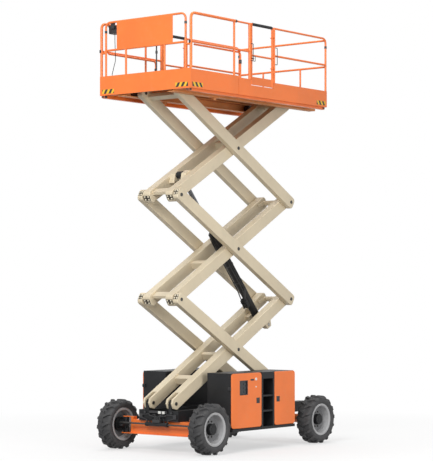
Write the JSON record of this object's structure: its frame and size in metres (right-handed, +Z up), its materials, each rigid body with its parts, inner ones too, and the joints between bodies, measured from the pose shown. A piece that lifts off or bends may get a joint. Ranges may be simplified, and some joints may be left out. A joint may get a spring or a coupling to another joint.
{
  "type": "rough-terrain scissor lift",
  "caption": "Self-propelled rough-terrain scissor lift with a raised crossed-arm stack, railed work platform with a sliding deck extension, side service boxes and lugged tyres.",
  "frame": {"origin": "on the ground, at the middle of the machine's length and width", "axes": "+X towards the steered front end, +Y to the left side, +Z up"},
  "size_m": [4.2, 2.39, 7.5579],
  "materials": {
    "arm_paint": "satin",
    "body_paint": "satin",
    "chassis_paint": "satin",
    "dark_paint": "satin",
    "deck_sheet": "matt",
    "door_paint": "satin",
    "rail_paint": "satin",
    "rod_chrome": "polished",
    "roller": "machined",
    "steel": "satin",
    "tyre_rubber": "matt",
    "wheel_paint": "satin"
  },
  "bodies": {
    "chassis": {"chassis_frame": "chassis_paint", "front_axle": "body_paint", "rear_axle": "body_paint", "side_box_left": "chassis_paint", "side_box_right": "chassis_paint", "engine_block": "dark_paint", "steer_cylinder": "dark_paint"},
    "knuckle_left": {"knuckle_left": "chassis_paint"},
    "wheel_front_left": {"rim_front_left": "wheel_paint", "tyre_front_left": "tyre_rubber"},
    "front_door_left": {"front_door_left": "door_paint"},
    "wheel_rear_left": {"rim_rear_left": "wheel_paint", "tyre_rear_left": "tyre_rubber"},
    "rear_door_left": {"rear_door_left": "door_paint"},
    "gate_left": {"gate_left": "rail_paint"},
    "knuckle_right": {"knuckle_right": "chassis_paint"},
    "wheel_front_right": {"rim_front_right": "wheel_paint", "tyre_front_right": "tyre_rubber"},
    "front_door_right": {"front_door_right": "door_paint"},
    "wheel_rear_right": {"rim_rear_right": "wheel_paint", "tyre_rear_right": "tyre_rubber"},
    "rear_door_right": {"rear_door_right": "door_paint"},
    "gate_right": {"gate_right": "rail_paint"},
    "tie_rod": {"tie_rod": "steel"},
    "inner_arms_lower": {"inner_arms_lower": "arm_paint"},
    "outer_arms_lower": {"outer_arms_lower": "arm_paint", "lower_rollers": "roller"},
    "inner_arms_middle": {"inner_arms_middle": "arm_paint"},
    "outer_arms_middle": {"outer_arms_middle": "arm_paint"},
    "inner_arms_upper": {"inner_arms_upper": "arm_paint", "upper_rollers": "roller"},
    "outer_arms_upper": {"outer_arms_upper": "arm_paint"},
    "cylinder_barrel": {"cylinder_barrel": "dark_paint"},
    "cylinder_rod": {"cylinder_rod": "rod_chrome"},
    "platform": {"platform_frame": "body_paint", "deck_plate": "deck_sheet", "roller_track_left": "body_paint", "roller_track_right": "body_paint", "toe_boards": "body_paint", "rear_rails": "rail_paint", "front_rails_left": "rail_paint", "front_rails_right": "rail_paint"},
    "extension": {"extension_deck": "body_paint", "extension_rails": "rail_paint", "control_box": "dark_paint"}
  },
  "joints": [
    {"name": "scissor_lift", "type": "hinge", "parent": "chassis", "child": "inner_arms_lower", "pos_m": [1.647, 0, 0.854], "axis": [0, 1, 0], "range_deg": [-25.4, 25.6]},
    {"name": "lower_cross", "type": "hinge", "parent": "inner_arms_lower", "child": "outer_arms_lower", "pos_m": [0.037, 0, 1.76119], "axis": [0, 1, 0], "range_deg": [-51.21, 50.81]},
    {"name": "middle_front_pivot", "type": "hinge", "parent": "outer_arms_lower", "child": "inner_arms_middle", "pos_m": [1.647, 0, 2.66838], "axis": [0, 1, 0], "range_deg": [-50.81, 51.21]},
    {"name": "middle_cross", "type": "hinge", "parent": "inner_arms_middle", "child": "outer_arms_middle", "pos_m": [0.037, 0, 3.57557], "axis": [0, 1, 0], "range_deg": [-51.21, 50.81]},
    {"name": "upper_front_pivot", "type": "hinge", "parent": "outer_arms_middle", "child": "inner_arms_upper", "pos_m": [1.647, 0, 4.48276], "axis": [0, 1, 0], "range_deg": [-50.81, 51.21]},
    {"name": "upper_cross", "type": "hinge", "parent": "inner_arms_upper", "child": "outer_arms_upper", "pos_m": [0.037, 0, 5.38995], "axis": [0, 1, 0], "range_deg": [-51.21, 50.81]},
    {"name": "platform_pivot", "type": "hinge", "parent": "outer_arms_upper", "child": "platform", "pos_m": [1.647, 0, 6.29714], "axis": [0, 1, 0], "range_deg": [-25.41, 25.61]},
    {"name": "barrel_pivot", "type": "hinge", "parent": "inner_arms_lower", "child": "cylinder_barrel", "pos_m": [-1.24565, 0, 2.19008], "axis": [0, 1, 0], "range_deg": [-56.33, 55.89]},
    {"name": "rod_slide", "type": "slide", "parent": "cylinder_barrel", "child": "cylinder_rod", "axis": [0.6596, 0, 0.7516], "range_m": [-0.9488, 0.95627]},
    {"name": "steering", "type": "hinge", "parent": "chassis", "child": "knuckle_left", "pos_m": [1.6035, 0.85, 0.44435], "axis": [0, 0, 1], "range_deg": [-30, 30]},
    {"name": "steering_right", "type": "hinge", "parent": "chassis", "child": "knuckle_right", "pos_m": [1.6035, -0.85, 0.44435], "axis": [0, 0, 1], "range_deg": [-30.01, 30.01]},
    {"name": "tie_rod_slide", "type": "slide", "parent": "chassis", "child": "tie_rod", "axis": [0, 1, 0], "range_m": [-0.08478, 0.08478]},
    {"name": "wheel_front_left_spin", "type": "hinge", "parent": "knuckle_left", "child": "wheel_front_left", "pos_m": [1.6035, 1.0425, 0.44435], "axis": [0, 1, 0], "continuous": true},
    {"name": "wheel_rear_left_spin", "type": "hinge", "parent": "chassis", "child": "wheel_rear_left", "pos_m": [-1.5435, 1.0425, 0.44435], "axis": [0, 1, 0], "continuous": true},
    {"name": "front_door_left_hinge", "type": "hinge", "parent": "chassis", "child": "front_door_left", "pos_m": [0.959, 1.045, 0.889], "axis": [0, 0, 1], "range_deg": [-110, 0]},
    {"name": "rear_door_left_hinge", "type": "hinge", "parent": "chassis", "child": "rear_door_left", "pos_m": [-0.889, 1.045, 0.889], "axis": [0, 0, 1], "range_deg": [0, 110]},
    {"name": "gate_left_hinge", "type": "hinge", "parent": "platform", "child": "gate_left", "pos_m": [-0.225, 1.019, 7.04014], "axis": [0, 0, 1], "range_deg": [-90, 0]},
    {"name": "wheel_front_right_spin", "type": "hinge", "parent": "knuckle_right", "child": "wheel_front_right", "pos_m": [1.6035, -1.0425, 0.44435], "axis": [0, 1, 0], "continuous": true},
    {"name": "wheel_rear_right_spin", "type": "hinge", "parent": "chassis", "child": "wheel_rear_right", "pos_m": [-1.5435, -1.0425, 0.44435], "axis": [0, 1, 0], "continuous": true},
    {"name": "front_door_right_hinge", "type": "hinge", "parent": "chassis", "child": "front_door_right", "pos_m": [0.959, -1.045, 0.889], "axis": [0, 0, 1], "range_deg": [0, 110]},
    {"name": "rear_door_right_hinge", "type": "hinge", "parent": "chassis", "child": "rear_door_right", "pos_m": [-0.889, -1.045, 0.889], "axis": [0, 0, 1], "range_deg": [-110, 0]},
    {"name": "gate_right_hinge", "type": "hinge", "parent": "platform", "child": "gate_right", "pos_m": [-0.225, -1.019, 7.04014], "axis": [0, 0, 1], "range_deg": [0, 90]},
    {"name": "deck_extension", "type": "slide", "parent": "platform", "child": "extension", "axis": [1, 0, 0], "range_m": [0, 1.2]}
  ],
  "couplings": [
    {"joint": "lower_cross", "follows": "scissor_lift", "ratio": -2},
    {"joint": "middle_front_pivot", "follows": "scissor_lift", "ratio": 2},
    {"joint": "middle_cross", "follows": "scissor_lift", "ratio": -2},
    {"joint": "upper_front_pivot", "follows": "scissor_lift", "ratio": 2},
    {"joint": "upper_cross", "follows": "scissor_lift", "ratio": -2},
    {"joint": "platform_pivot", "follows": "scissor_lift", "ratio": 1},
    {"joint": "barrel_pivot", "follows": "scissor_lift", "ratio": -2.2},
    {"joint": "rod_slide", "follows": "scissor_lift", "m_per_rad": 2.138},
    {"joint": "steering_right", "follows": "steering", "ratio": 1},
    {"joint": "tie_rod_slide", "follows": "steering", "m_per_rad": 0.16}
  ]
}
